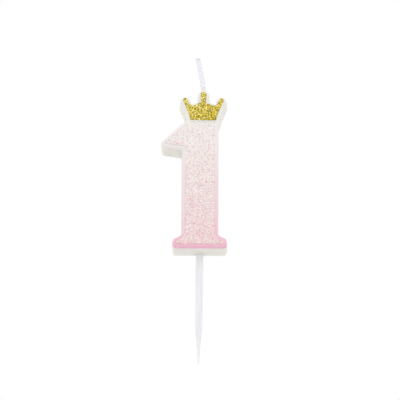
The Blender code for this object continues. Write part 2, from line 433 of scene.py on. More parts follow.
@dataclass(frozen=True)
class AirbrushedWax(Finish):
    """Wax lacquer with oil dye, airbrushed on the front and its rounded edges.

    The pink is strongest at the foot and runs out to white before the crown.  The
    gun stood to the right, so that edge took more dye, and the mist ends softly.
    """

    name: str = "wax_lacquer_airbrushed_pink"
    white: str = "#EFEBE7"
    pink: str = "#F08BB6"
    top: float = 56.0 * MM
    wander: float = 8.0 * MM
    strength: Stops = (
        (0.00, "#CBCBCB"), (0.10, "#C6C6C6"), (0.30, "#AAAAAA"),
        (0.55, "#868686"), (0.80, "#4C4C4C"), (1.00, "#181818"))
    edges: Span = (-7.8 * MM, 7.8 * MM)
    left_share: float = 0.55
    foot: Span = (9.0 * MM, 4.0 * MM)
    mist: Span = (-3.45 * MM, -4.15 * MM)
    flank: Span = (0.55, 1.0)
    flank_share: float = 0.45
    mottle_mm: float = 2.4
    spatter_mm: float = 0.8
    spatter: Span = (0.88, 1.12)
    # Coarser than the real mist, whose droplets are under 0.1 mm across.
    droplet_mm: float = 0.35
    droplet_depth_mm: float = 0.012
    roughness: float = 0.42
    ior: float = 1.45

    def dye(self, tree: Tree) -> Socket:
        """How much dye lies on the wax, from 0 to 1."""
        coordinates = coordinates_in(tree)
        place = coordinates["Object"]
        axes = axes_of(tree, place)
        turned = axes_of(tree, coordinates["Normal"])["X"]
        mottle = noise_in(tree, place, self.mottle_mm, 3.0)
        level = worked_out(tree, "MULTIPLY_ADD", mottle, self.wander, axes["Z"])
        middle = 0.5 * self.wander
        height = mapped(tree, level, (middle, self.top + middle))
        side = mapped(tree, axes["X"], self.edges, (self.left_share, 1.0))
        foot = mapped(tree, axes["Z"], self.foot, soft=True)
        reached = worked_out(tree, "MAXIMUM", side, foot)
        aimed = worked_out(tree, "MULTIPLY", ramp(tree, height, self.strength), reached)
        mist = mapped(tree, axes["Y"], self.mist, soft=True)
        flank = worked_out(tree, "ABSOLUTE", turned)
        thinned = mapped(tree, flank, self.flank, (1.0, self.flank_share), soft=True)
        landed = worked_out(tree, "MULTIPLY", mist, thinned)
        drops = noise_in(tree, place, self.spatter_mm, 2.0)
        uneven = mapped(tree, drops, (0.3, 0.7), self.spatter)
        sprayed = worked_out(tree, "MULTIPLY", aimed, uneven)
        return worked_out(tree, "MULTIPLY", sprayed, landed)

    def shading(self, tree: Tree) -> dict:
        """Pink over white, with the fine relief of dried droplets."""
        tint = blended(tree, self.dye(tree), linear(self.white), linear(self.pink))
        droplets = noise_in(tree, coordinates_in(tree)["Object"], self.droplet_mm, 1.0)
        return {
            "Base Color": tint, "Roughness": self.roughness, "IOR": self.ior,
            "Normal": bump(tree, droplets, self.droplet_depth_mm)}


@dataclass(frozen=True)
class LacquerBinder(Finish):
    """Clear lacquer that glitter is stirred into, brushed on thick.

    Between the flakes it is uneven and glossy.  Its tones are painted darker than the
    flakes: painted shade for the light that is lost between them.
    """

    # Tones by height, painted darker than the flakes as painted shade between them.
    stops: Stops
    top: float
    wander: float = 10.0 * MM
    lump_mm: float = 0.5
    lump_depth_mm: float = 0.05
    roughness: float = 0.35
    ior: float = 1.5
    coat: Span = (0.3, 0.2)          # weight and roughness

    def shading(self, tree: Tree) -> dict:
        """Lumpy lacquer whose tone, painted darker than the flakes as shade, changes with the
        height.
        """
        place = coordinates_in(tree)["Object"]
        lumps = noise_in(tree, place, self.lump_mm, 2.0)
        level = worked_out(
            tree, "MULTIPLY_ADD", lumps, self.wander, axes_of(tree, place)["Z"])
        middle = 0.5 * self.wander
        height = mapped(tree, level, (middle, self.top + middle))
        return {
            "Base Color": ramp(tree, height, self.stops), "Roughness": self.roughness,
            "IOR": self.ior, "Coat Weight": self.coat[0], "Coat Roughness": self.coat[1],
            "Normal": bump(tree, lumps, self.lump_depth_mm)}


@dataclass(frozen=True)
class FilmFlake(Finish):
    """Polyester film flake, coated with pearl or metal and cut to a hexagon.

    Flat and glossy, so each one is one tone, and neighbours differ with their tilt.
    A metal one keeps the default index of refraction.
    """

    tint: str
    metallic: float = 0.0
    roughness: float = 0.25
    ior: float = 1.6
    coat: Span = (0.25, 0.12)        # weight and roughness

    def shading(self, tree: Tree) -> dict:
        """One flat tone."""
        inputs = {
            "Base Color": linear(self.tint), "Metallic": self.metallic,
            "Roughness": self.roughness, "Coat Weight": self.coat[0],
            "Coat Roughness": self.coat[1]}
        if not self.metallic:
            inputs["IOR"] = self.ior
        return inputs


@dataclass(frozen=True)
class WaxedCotton(Finish):
    """Bleached cotton, plaited and primed with hot wax.

    The wax fills the fuzz, so the plies look smooth and satin, with fine fibres along
    them.  The colour turns greyer over the last of the cut end.
    """

    name: str = "cotton_waxed_bleached"
    tones: Stops = ((0.30, "#EAEBF2"), (0.62, "#F0F1F6"))
    # Grey tone that the last of the cut end turns to.
    cut_end_grey: str = "#CFD0D6"
    grey: Span = (87.4 * MM, 88.9 * MM)
    # Coarser than the real fibre, which is about 0.02 mm thick.
    fibre_mm: float = 0.09
    fibre_depth_mm: float = 0.005
    stretch: float = 0.12
    roughness: float = 0.6
    ior: float = 1.45
    sheen: Span = (0.15, 0.5)        # weight and roughness

    def shading(self, tree: Tree) -> dict:
        """Fine fibres along the ply, greyer at the cut end."""
        place = coordinates_in(tree)["Object"]
        fibres = noise_in(tree, drawn_out(tree, place, self.stretch), self.fibre_mm, 2.0)
        near_end = mapped(tree, axes_of(tree, place)["Z"], self.grey, soft=True)
        greyed_end = blended(tree, near_end, ramp(tree, fibres, self.tones), linear(self.cut_end_grey))
        return {
            "Base Color": greyed_end, "Roughness": self.roughness, "IOR": self.ior,
            "Sheen Weight": self.sheen[0], "Sheen Roughness": self.sheen[1],
            "Normal": bump(tree, fibres, self.fibre_depth_mm)}


@dataclass(frozen=True)
class PrimingWax(Finish):
    """Hard wax drawn into the wick, set between its plies.

    It is cloudy and bluish white, with a duller shine than the casting.
    """

    name: str = "paraffin_priming_drawn"
    clouds: Stops = ((0.35, "#E9EAF2"), (0.65, "#F0F1F7"))
    cloud_mm: float = 0.9
    cloud_depth_mm: float = 0.01
    roughness: float = 0.5
    ior: float = 1.44

    def shading(self, tree: Tree) -> dict:
        """Cloudy wax with a faint relief."""
        cloud = noise_in(tree, coordinates_in(tree)["Object"], self.cloud_mm, 2.0)
        return {
            "Base Color": ramp(tree, cloud, self.clouds), "Roughness": self.roughness,
            "IOR": self.ior, "Normal": bump(tree, cloud, self.cloud_depth_mm)}


@dataclass(frozen=True)
class MouldedPolypropylene(Finish):
    """White polypropylene, injection moulded in a polished tool.

    Slightly see-through and cool, with faint flow lines along its length.
    """

    name: str = "polypropylene_moulded_white"
    tones: Stops = ((0.35, "#E7E7EB"), (0.65, "#EEEEF1"))
    flow_mm: float = 0.8
    flow_depth_mm: float = 0.012
    stretch: float = 0.06
    roughness: Span = (0.26, 0.38)
    ior: float = 1.49
    glow: float = 0.4
    reach_mm: Point = (0.9, 0.9, 0.9)

    def shading(self, tree: Tree) -> dict:
        """Flow lines in tone, shine and relief."""
        place = drawn_out(tree, coordinates_in(tree)["Object"], self.stretch)
        flow = noise_in(tree, place, self.flow_mm, 3.0)
        return {
            "Base Color": ramp(tree, flow, self.tones),
            "Roughness": mapped(tree, flow, target=self.roughness), "IOR": self.ior,
            "Subsurface Weight": self.glow, "Subsurface Radius": self.reach_mm,
            "Subsurface Scale": MM, "Normal": bump(tree, flow, self.flow_depth_mm)}


@dataclass(frozen=True)
class MattPaper(Finish):
    """Matt white background paper, rolled out as the studio floor."""

    name: str = "paper_matt_white"
    tint: str = "#EDEDED"
    roughness: float = 0.9
    shine: float = 0.1

    def shading(self, tree: Tree) -> dict:
        """One flat tone."""
        return {"Base Color": linear(self.tint), "Roughness": self.roughness,
                "Specular IOR Level": self.shine}


# Wick ------------

@dataclass
class Wick:
    """Three waxed cotton plies, plaited flat and cast into the wax."""

    bottom: float = 27.0 * MM
    top: float = 89.1 * MM
    buried_top: float = 69.0 * MM
    plies: int = 3
    ply_half: Span = (0.42 * MM, 0.32 * MM)
    plait_half: Span = (0.70 * MM, 0.42 * MM)
    pitch: float = 5.6 * MM
    # Height and sideways place of the middle, in millimetres.
    route: tuple[Span, ...] = (
        (20.0, 0.10), (40.0, 0.45), (56.0, 1.05), (68.0, 1.60), (73.0, 1.40),
        (77.0, 1.00), (81.0, 0.30), (85.0, -0.35), (90.0, -1.40), (93.0, -2.00))
    buried_step: float = 0.55 * MM
    step: float = 0.13 * MM
    nearby: float = 0.05 * MM
    strands: int = 7
    strand_depth: float = 0.05
    strand_middle: float = 0.6
    strand_turn: float = 2.6 * MM
    sides: int = 28
    uneven: float = 0.05
    uneven_spacing: float = 1.7 * MM
    cut_round: float = 0.35
    cut_reach: float = 0.25 * MM
    pinch: float = 0.26
    pinch_reach: float = 1.9 * MM
    core_half: Span = (1.01 * MM, 0.56 * MM)
    core_step: float = 0.2 * MM
    core_below_top: float = 0.35 * MM
    core_uneven: float = 0.06
    core_spacing: float = 1.1 * MM
    core_sides: int = 24
    core_lane: float = 4.0
    ply_lane: float = 9.0
    fibres_each: int = 7
    # Coarser than the real fibre, which is about 0.01 mm in radius.
    fibre_radius: float = 0.022 * MM
    fibre_root: float = 0.7 * MM
    fibre_length_mm: Span = (0.75, 1.0)
    fibre_spread: Span = (0.05, 0.7)
    fibre_splay: float = 0.35
    fibre_stray: float = 0.12
    fibre_lean: float = -0.22
    fibre_curl_mm: float = 0.10
    fibre_taper: float = 0.55
    fibre_steps: int = 6
    fibre_sides: int = 5
    seed: int = 11

    def place(self, height: float) -> float:
        """Sideways place of the wick's middle.

        Args:
            height: Height in metres.

        Returns:
            X in metres, smooth through the route's points.
        """
        route = [(z * MM, x * MM) for z, x in self.route]
        i = max(k for k in range(len(route) - 1) if route[k][0] <= height)
        slopes = []
        for k in (i, i + 1):
            low, high = route[max(k - 1, 0)], route[min(k + 1, len(route) - 1)]
            slopes.append((high[1] - low[1]) / (high[0] - low[0]))
        span = route[i + 1][0] - route[i][0]
        t = (height - route[i][0]) / span
        return (
            (2 * t**3 - 3 * t**2 + 1) * route[i][1] + (t**3 - 2 * t**2 + t) * span * slopes[0]
            + (3 * t**2 - 2 * t**3) * route[i + 1][1] + (t**3 - t**2) * span * slopes[1])

    def pinched(self, height: float) -> float:
        """How much of its full width the wick keeps, less where the cutter pinched it."""
        return 1.0 - self.pinch * float(smooth_step(self.pinch_reach, 0.0, self.top - height))

    def ply_point(self, index: int, height: float) -> Vector:
        """Middle of one ply at a height."""
        turn = FULL_TURN * ((height - self.bottom) / self.pitch + index / self.plies)
        pinch = self.pinched(height)
        return Vector((
            self.place(height) + pinch * self.plait_half[0] * math.sin(turn),
            pinch * self.plait_half[1] * math.sin(2.0 * turn), height))

    def heights(self) -> list[float]:
        """Heights of a ply's sections, coarse inside the wax and fine above it."""
        low = np.arange(self.bottom, self.buried_top, self.buried_step)
        high = np.arange(self.buried_top, self.top, self.step)
        return [*low, *high, self.top]

    def ply_ring(self, index: int, height: float) -> Ring:
        """One section of a ply: a lobed oval that turns with the strands.

        Args:
            index: Number of the ply, from 0.
            height: Height of the section, in metres.

        Returns:
            Its points.
        """
        centre = self.ply_point(index, height)
        along = (self.ply_point(index, height + self.nearby)
                 - self.ply_point(index, height - self.nearby)).normalized()
        across = Vector((0.0, 1.0, 0.0)).cross(along).normalized()
        deep = along.cross(across)
        near_cut = 1.0 - self.cut_round * float(
            smooth_step(self.cut_reach, 0.0, self.top - height))
        thick = near_cut * self.pinched(height) * (
            1.0 + self.uneven * noise_along(height, self.uneven_spacing, index * self.ply_lane))
        spin = FULL_TURN * height / self.strand_turn
        ring = []
        for k in range(self.sides):
            turn = FULL_TURN * k / self.sides
            lobe = thick * (1.0 + self.strand_depth * (
                abs(math.cos(0.5 * (self.strands * turn - spin))) - self.strand_middle))
            ring.append(centre
                        + across * (self.ply_half[0] * lobe * math.cos(turn))
                        + deep * (self.ply_half[1] * lobe * math.sin(turn)))
        return ring

    def core_rings(self) -> list[Ring]:
        """Sections of the priming wax that fills the gaps between the plies."""
        rings = []
        for height in np.arange(
                self.buried_top, self.top - self.core_below_top, self.core_step):
            sway = self.pinched(height) * (
                1.0 + self.core_uneven * noise_along(height, self.core_spacing, self.core_lane))
            rings.append(oval(
                (self.place(height), 0.0, height), self.core_half[0] * sway,
                self.core_half[1] * sway, self.core_sides))
        return rings

    def fibre_rings(self, index: int, chance: Chance) -> list[Ring]:
        """Sections of one loose fibre at the cut end.

        Args:
            index: Number of its ply, from 0.
            chance: Random numbers.

        Returns:
            The sections, from its root up.
        """
        angle = chance.uniform(0.0, FULL_TURN)
        reach = self.ply_half[1] * math.sqrt(chance.uniform(*self.fibre_spread))
        root = self.ply_point(index, self.top - self.fibre_root) + Vector(
            (reach * math.cos(angle), reach * math.sin(angle), 0.0))
        length = chance.uniform(*self.fibre_length_mm) * MM
        lean = Vector((
            self.fibre_splay * math.cos(angle) + chance.normal(0.0, self.fibre_stray)
            + self.fibre_lean,
            self.fibre_splay * math.sin(angle) + chance.normal(0.0, self.fibre_stray),
            1.0)).normalized()
        curl = Vector((chance.normal(0.0, self.fibre_curl_mm),
                       chance.normal(0.0, self.fibre_curl_mm), 0.0)) * MM
        rings = []
        for step in range(self.fibre_steps + 1):
            t = step / self.fibre_steps
            radius = self.fibre_radius * (1.0 - self.fibre_taper * t)
            middle = root + lean * (length * t) + curl * (t * t)
            rings.append(oval(middle, radius, radius, self.fibre_sides))
        return rings

    def build(self) -> None:
        """Build and dress the three plies and the wax between them."""
        material = WaxedCotton().material()
        chance = np.random.default_rng(self.seed)
        for index in range(self.plies):
            fibres = [self.fibre_rings(index, chance) for _ in range(self.fibres_each)]
            ply = [self.ply_ring(index, height) for height in self.heights()]
            skinned(f"wick_yarn_{index + 1}", [ply, *fibres], material,
                    Slot.COTTON, f"wick_ply_{index + 1}")
        skinned("wick_priming_wax", [self.core_rings()], PrimingWax().material(), Slot.COTTON)


# Wax casting ------------

@dataclass
class WaxCasting:
    """The white wax body, poured round the wick and the pick."""

    wick: Wick
    grain: float = 0.26 * MM
    smoothing: int = 6
    sides: int = 32
    channel_radius: float = 1.62 * MM
    channel_span: Span = (26.0 * MM, 70.5 * MM)
    channel_levels: int = 18
    # Height and radius of the wax drawn up the wick, in millimetres.
    collar: tuple[Span, ...] = (
        (71.4, 1.72), (71.85, 1.70), (72.3, 1.58), (72.8, 1.42), (73.4, 1.28), (74.3, 1.16),
        (75.2, 1.06))
    collar_flattens: Span = (71.0 * MM, 74.0 * MM)
    collar_depth: float = 0.78
    socket_half: Span = (2.15 * MM, 1.35 * MM)
    socket_span: Span = (0.6 * MM, 23.0 * MM)
    socket_back: float = 3.8 * MM
    socket_corner: float = 0.45
    # Height and how far the lip stands off the pick, in millimetres.
    lip: tuple[Span, ...] = ((-0.14, 0.02), (-0.06, 0.08), (0.02, 0.22), (0.12, 0.50))
    pick_half: Span = (1.62 * MM, 1.10 * MM)
    rebate_gap: float = 0.14 * MM
    groove_span: Span = (-6.2 * MM, 7.6 * MM)
    groove_height: float = 56.85 * MM
    groove_tilt: float = math.radians(0.8)
    groove_front: float = -4.66 * MM
    groove_half: Span = (1.6 * MM, 1.1 * MM)     # depth and height
    groove_steps: int = 12
    sway: float = 0.035 * MM
    sway_spacing: float = 6.5 * MM
    skin_share: float = 0.25
    skin_spacing: float = 1.4 * MM
    sink_depth: float = 0.34 * MM
    sink_margin: float = 0.7 * MM
    sink_width: float = 3.2 * MM
    sink_spacing: float = 7.0 * MM
    sink_share: Span = (0.75, 0.35)              # mean and spread
    back_ripple: float = 0.030 * MM
    back_ripple_spacing: float = 1.6 * MM
    edge_rise: float = 0.07 * MM
    edge_place: float = 0.75 * MM
    edge_width: float = 0.45 * MM
    pits: int = 26
    pit_radius_mm: Span = (0.32, 0.75)
    pit_margin: float = 0.9 * MM
    pit_depth: float = 0.42
    pit_rim: float = 0.05
    seed: int = 5

    def add_channel_fill(self, work: Work) -> None:
        """Fill the wick's channel, with wax drawn a little way up the wick."""
        levels = [(z, self.channel_radius) for z in
                  np.linspace(*self.channel_span, self.channel_levels)]
        levels += [(z * MM, radius * MM) for z, radius in self.collar]
        rings = []
        for height, radius in levels:
            flatter = float(smooth_step(*self.collar_flattens, height))
            depth = radius * (1.0 - (1.0 - self.collar_depth) * flatter)
            rings.append(oval((self.wick.place(height), 0.0, height), radius, depth, self.sides))
        lofted(work, rings)

    def socket_ring(self, height: float, wide: float, deep: float) -> Ring:
        """A rectangle with round corners, given by half its width and half its depth."""
        ring = []
        for k in range(self.sides):
            angle = FULL_TURN * (k + 0.5) / self.sides
            cosine, sine = math.cos(angle), math.sin(angle)
            ring.append(Vector((
                wide * math.copysign(abs(cosine) ** self.socket_corner, cosine),
                self.socket_back
                + deep * math.copysign(abs(sine) ** self.socket_corner, sine), height)))
        return ring

    def add_socket_fill(self, work: Work) -> None:
        """Fill the pick's socket, with a small lip where the wax meets the pick."""
        levels = [(z * MM, self.pick_half[0] + g * MM, self.pick_half[1] + g * MM)
                  for z, g in self.lip]
        levels += [(height, *self.socket_half) for height in self.socket_span]
        lofted(work, [self.socket_ring(*level) for level in levels])

    def add_groove_fill(self, work: Work) -> None:
        """Soften the groove between the numeral and the crown, as wax flows into it."""
        left, right = self.groove_span
        depth, half = self.groove_half
        steps = self.groove_steps
        rings = []
        for across in np.linspace(left, right, steps):
            height = self.groove_height - (across - left) * math.tan(self.groove_tilt)
            rings.append([
                Vector((across, self.groove_front + depth * (1.0 - math.cos(a)),
                        height + half * math.sin(a)))
                for a in (math.pi * (k / steps - 0.5) for k in range(steps + 1))])
        lofted(work, rings)

    def blank(self) -> Mesh:
        """The casting before its surface is worked, as one fine skin."""
        work = bmesh.new()
        add_copy(work, "wax_body")
        self.add_channel_fill(work)
        self.add_socket_fill(work)
        add_copy(work, "pink_wax_coat")
        add_copy(work, "pink_wax_coat", self.rebate_gap)     # closes the gap behind it
        self.add_groove_fill(work)
        return regrained("wax_casting", work, self.grain, self.smoothing)

    def work_back(self, places: Rows, normals: Rows) -> None:
        """Sink the poured back and ripple it, as wax shrinks when it sets.

        Args:
            places: The casting's points, which it moves.
            normals: Their normals.
        """
        steep, level = 0.5, 0.75                 # share of a normal that points back
        wall = KDTree(len(places))
        for i in np.flatnonzero(np.abs(normals[:, 1]) < steep):
            wall.insert(Vector((places[i, 0], 0.0, places[i, 2])), int(i))
        wall.balance()
        back = np.flatnonzero(normals[:, 1] > level)
        inside = np.array([
            wall.find(Vector((places[i, 0], 0.0, places[i, 2])))[2] for i in back])
        flat = places[back] * np.array((1.0, 0.0, 1.0))
        sunk = smooth_step(self.sink_margin, self.sink_margin + self.sink_width, inside)
        mean, spread = self.sink_share
        uneven = mean + spread * noise_at(flat, self.sink_spacing, seed=2.0)
        ripple = self.back_ripple * noise_at(flat, self.back_ripple_spacing, seed=4.0)
        lip = self.edge_rise * np.exp(-((inside - self.edge_place) / self.edge_width) ** 2)
        places[back, 1] += lip + ripple * sunk - self.sink_depth * uneven * sunk
        self.pit_back(places, back, inside)

    def pit_back(self, places: Rows, back: Rows, inside: Rows) -> None:
        """Leave a few small burst bubbles in the back.

        Args:
            places: The casting's points, which are moved.
            back: Which of them are on the back.
            inside: How far each of those is from the edge, in metres.
        """
        rim_place, rim_width = 1.15, 0.22        # in radii
        chance = np.random.default_rng(self.seed)
        room = back[inside > self.pit_margin]
        for centre in places[chance.choice(room, self.pits)]:
            radius = chance.uniform(*self.pit_radius_mm) * MM
            away = np.linalg.norm(places[back] - centre, axis=1) / radius
            dish = np.clip(1.0 - away**2, 0.0, None) * radius * self.pit_depth
            rim = self.pit_rim * radius * np.exp(-((away - rim_place) / rim_width) ** 2)
            places[back, 1] += rim - dish

    def build(self) -> Object:
        """Build and dress the casting."""
        mesh = self.blank()
        places, normals = rows_of(mesh, "co"), rows_of(mesh, "normal")
        for depth, spacing, seed in (
                (self.sway, self.sway_spacing, 1.0),
                (self.skin_share * self.sway, self.skin_spacing, 3.0)):
            places += normals * (depth * noise_at(places, spacing, seed))[:, None]
        self.work_back(places, normals)
        move_points(mesh, places)
        return dressed("wax_casting", mesh, CastParaffin().material(),
                       Slot.WHITE_WAX, "wax_body")


@dataclass
class PinkCoat:
    """Pink lacquer over the numeral's face and rounded edges."""

    casting: Object
    back: float = -3.40 * MM
    groove_at: Span = (1.25 * MM, 56.40 * MM)
    groove_tilt: float = math.radians(-0.8)
    proud: float = 0.035 * MM
    thickness: float = 0.14 * MM

    def build(self) -> None:
        """Build and dress the coat, cut from the casting's own skin."""
        work = bmesh.new()
        work.from_mesh(self.casting.data)
        level = Vector((math.cos(self.groove_tilt), 0.0, math.sin(self.groove_tilt)))
        up = Vector((-level.z, 0.0, level.x))
        across, height = self.groove_at
        for point, outside in (
                (Vector((0.0, self.back, 0.0)), Vector((0.0, 1.0, 0.0))),
                (Vector((across, 0.0, height)), up)):
            bmesh.ops.bisect_plane(
                work, geom=[*work.verts, *work.edges, *work.faces], plane_co=point,
                plane_no=outside, dist=MERGE, clear_outer=True)
        loose = [v for v in work.verts if not v.link_faces]
        bmesh.ops.delete(work, geom=loose, context="VERTS")
        work.normal_update()
        for vert in work.verts:
            vert.co += vert.normal * self.proud
        solid = modified("sprayed_coat", mesh_of("sprayed_coat_sheet", work), "SOLIDIFY",
                         thickness=self.thickness, offset=-1.0)
        dressed("sprayed_coat", solid, AirbrushedWax().material(),
                Slot.PINK_WAX, "pink_wax_coat")


# Glitter ------------

@dataclass(frozen=True)
class Share:
    """How much of a coat one flake finish makes up, where its run starts and ends."""

    flake: FilmFlake
    low: float
    high: float


@dataclass
class GlitterCoat:
    """Lacquer full of film flakes, laid on a flat face.

    The flakes are coarser than real ones can be, which is about 0.2 mm across.
    """

    name: str
    node: str
    slot: Slot
    binder: LacquerBinder
    mix: tuple[Share, ...]
    across: float
    spacing: float
    tilt: float
    seed: int
    run: Point = (0.0, 0.0, 1.0)
    grain: float = 0.17 * MM
    smoothing: int = 3
    lumps: float = 0.05 * MM
    lump_spacing: float = 0.55 * MM
    swell: float = 0.6
    swell_spacing: float = 1.3 * MM
    sunk: float = 0.27 * MM
    faces_back: float = 0.25
    tries_each: float = 9.0
    flake_sizes: Span = (0.78, 1.12)
    flake_sides: int = 6
    flake_thickness: float = 0.035 * MM
    flake_sunk: float = 0.1

    def slab(self) -> Mesh:
        """The binder as a fine skin with lumps."""
        work = bmesh.new()
        add_copy(work, self.node)
        mesh = regrained(self.name + "_binder", work, self.grain, self.smoothing)
        places, normals = rows_of(mesh, "co"), rows_of(mesh, "normal")
        places[:, 1] += self.sunk
        facing = smooth_step(0.3, -0.3, normals[:, 1])
        rough = (noise_at(places, self.lump_spacing, self.seed)
                 + self.swell * noise_at(places, self.swell_spacing, self.seed + 1.0))
        places += normals * (self.lumps * rough * facing)[:, None]
        move_points(mesh, places)
        return mesh

    def seats(self, mesh: Mesh, chance: Chance) -> tuple[Rows, Rows]:
        """Choose where flakes lie.

        Args:
            mesh: The binder.
            chance: Random numbers.

        Returns:
            Points and normals, one row for each flake.
        """
        mesh.calc_loop_triangles()
        corners = np.empty(len(mesh.loop_triangles) * 3, dtype=np.int64)
        mesh.loop_triangles.foreach_get("vertices", corners)
        corners = corners.reshape(-1, 3)
        places, normals = rows_of(mesh, "co"), rows_of(mesh, "normal")
        a, b, c = (places[corners[:, k]] for k in range(3))
        area = np.linalg.norm(np.cross(b - a, c - a), axis=1) * 0.5
        area[normals[corners].mean(axis=1)[:, 1] > self.faces_back] = 0.0
        tries = int(area.sum() / self.spacing**2 * self.tries_each)
        chosen = chance.choice(len(area), tries, p=area / area.sum())
        mixed = chance.dirichlet((1.0, 1.0, 1.0), tries)
        spots = (places[corners[chosen]] * mixed[:, :, None]).sum(axis=1)
        facing = (normals[corners[chosen]] * mixed[:, :, None]).sum(axis=1)
        kept = self.apart(spots)
        return spots[kept], facing[kept]

    def apart(self, spots: Rows) -> list[int]:
        """Rows of the points that lie clear of every point kept before them."""
        taken: dict[tuple[int, int, int], list[int]] = {}
        kept: list[int] = []
        beside = (-1, 0, 1)
        for i, spot in enumerate(spots):
            cell = tuple(int(v) for v in np.floor(spot / self.spacing))
            near = (
                j for x in beside for y in beside for z in beside
                for j in taken.get((cell[0] + x, cell[1] + y, cell[2] + z), ()))
            if all(((spots[j] - spot) ** 2).sum() > self.spacing**2 for j in near):
                taken.setdefault(cell, []).append(i)
                kept.append(i)
        return kept

    def flakes(self, mesh: Mesh) -> Mesh:
        """All flakes of the coat, as thin hexagons tilted every way.

        Args:
            mesh: The binder that they lie on.

        Returns:
            One mesh, with a finish for each flake.
        """
        chance = np.random.default_rng(self.seed)
        spots, facing = self.seats(mesh, chance)
        count, sides = len(spots), self.flake_sides
        facing += chance.normal(0.0, self.tilt, (count, 3))
        facing /= np.linalg.norm(facing, axis=1)[:, None]
        side = np.cross(facing, chance.normal(0.0, 1.0, (count, 3)))
        side /= np.linalg.norm(side, axis=1)[:, None]
        other = np.cross(facing, side)
        half = 0.5 * self.across * chance.uniform(*self.flake_sizes, count)[:, None, None]
        turns = np.arange(sides) * (FULL_TURN / sides)
        rim = (side[:, None] * np.cos(turns)[None, :, None]
               + other[:, None] * np.sin(turns)[None, :, None]) * half
        lift = (facing * self.flake_thickness)[:, None]
        middle = spots[:, None] + rim
        verts = np.concatenate(
            (middle + lift, middle - lift * self.flake_sunk), axis=1).reshape(-1, 3)
        top, low = tuple(range(sides)), tuple(range(2 * sides - 1, sides - 1, -1))
        walls = [((k + 1) % sides, k, k + sides, (k + 1) % sides + sides)
                 for k in range(sides)]
        faces = [tuple(v + 2 * sides * n for v in face)
                 for n in range(count) for face in (top, low, *walls)]
        made = bpy.data.meshes.new(self.name + "_flakes")
        made.from_pydata(verts, [], faces)
        self.share_out(made, spots, chance)
        return made

    def share_out(self, made: Mesh, spots: Rows,
                  chance: Chance) -> None:
        """Give each flake one of the finishes, by how far along the run it lies.

        Args:
            made: Mesh of the flakes.
            spots: Where each one lies.
            chance: Random numbers.
        """
        for share in self.mix:
            made.materials.append(share.flake.material())
        level = spots @ np.array(self.run)
        level = (level - level.min()) / (level.max() - level.min())
        weights = np.array([
            share.low + (share.high - share.low) * level for share in self.mix]).T
        bounds = np.cumsum(weights / weights.sum(axis=1)[:, None], axis=1)
        picked = (chance.random(len(spots))[:, None] > bounds).sum(axis=1)
        picked = np.minimum(picked, len(self.mix) - 1)
        faces_each = self.flake_sides + 2
        made.polygons.foreach_set(
            "material_index", np.repeat(picked, faces_each).astype(np.int32))

    def build(self) -> None:
        """Build and dress the binder and the flakes."""
        mesh = self.slab()
        dressed(self.name + "_binder", mesh, self.binder.material(), self.slot, self.node)
        settle(new_object(self.name + "_flakes", self.flakes(mesh)), self.slot)


def pearl_coat() -> GlitterCoat:
    """White and pink pearl glitter on the numeral, pinker towards the foot."""
    return GlitterCoat(
        name="pearl_glitter", node="numeral_glitter_coat", slot=Slot.PEARL,
        binder=LacquerBinder(
            "lacquer_with_pearl_glitter",
            # Pinker towards the foot, like the coat under it, and painted darker than the
            # flakes: painted shade between them.
            ((0.0, "#EBC2CA"), (0.35, "#EDCFD4"), (0.7, "#EFDFDF"), (1.0, "#F1EDEA")),
            56.0 * MM),
        mix=(
            Share(FilmFlake("film_flake_white", "#F5F2F0"), 0.13, 0.57),
            Share(FilmFlake("film_flake_cream", "#F4EADC"), 0.22, 0.22),
            Share(FilmFlake("film_flake_blush", "#F4DCDE"), 0.22, 0.13),
            Share(FilmFlake("film_flake_pink", "#F2C9D1"), 0.24, 0.00),
            Share(FilmFlake("film_flake_rose", "#EDB8C4"), 0.09, 0.00),
            # The mauve flakes are painted shade: the dull look of flakes tilted away from the
            # light.
            Share(FilmFlake("film_flake_mauve", "#D8C9CD"), 0.11, 0.08),
        ),
        across=0.50 * MM, spacing=0.28 * MM, tilt=0.20, seed=21)


def gold_coat() -> GlitterCoat:
    """Gold glitter on the crown, paler towards its upper left, where more flakes take the
    painted-highlight tint.
    """
    return GlitterCoat(
        name="gold_glitter", node="crown_glitter_coat", slot=Slot.GOLD,
        binder=LacquerBinder(
            "lacquer_with_gold_glitter",
            # Dark bronze tones: painted shade in the gaps between the flakes.
            ((0.0, "#A38E30"), (1.0, "#B7A23E")), 72.0 * MM),
        # One gold in four tints: the pale one is painted highlight, the deep and bronze-toned
        # ones painted shade, for the glints and dark reflections of tilted flakes.
        mix=(
            Share(FilmFlake("metal_flake_gold", "#E4D04C", 1.0, 0.28), 0.38, 0.27),
            Share(FilmFlake("metal_flake_pale_gold", "#F5E894", 1.0, 0.30), 0.02, 0.58),
            Share(FilmFlake("metal_flake_deep_gold", "#C8B42E", 1.0, 0.26), 0.33, 0.11),
            Share(FilmFlake("metal_flake_shaded_gold", "#937E1E", 1.0, 0.30), 0.27, 0.04),
        ),
        across=0.55 * MM, spacing=0.30 * MM, tilt=0.30, seed=33, run=(-0.75, 0.0, 0.65))


# Pick ------------

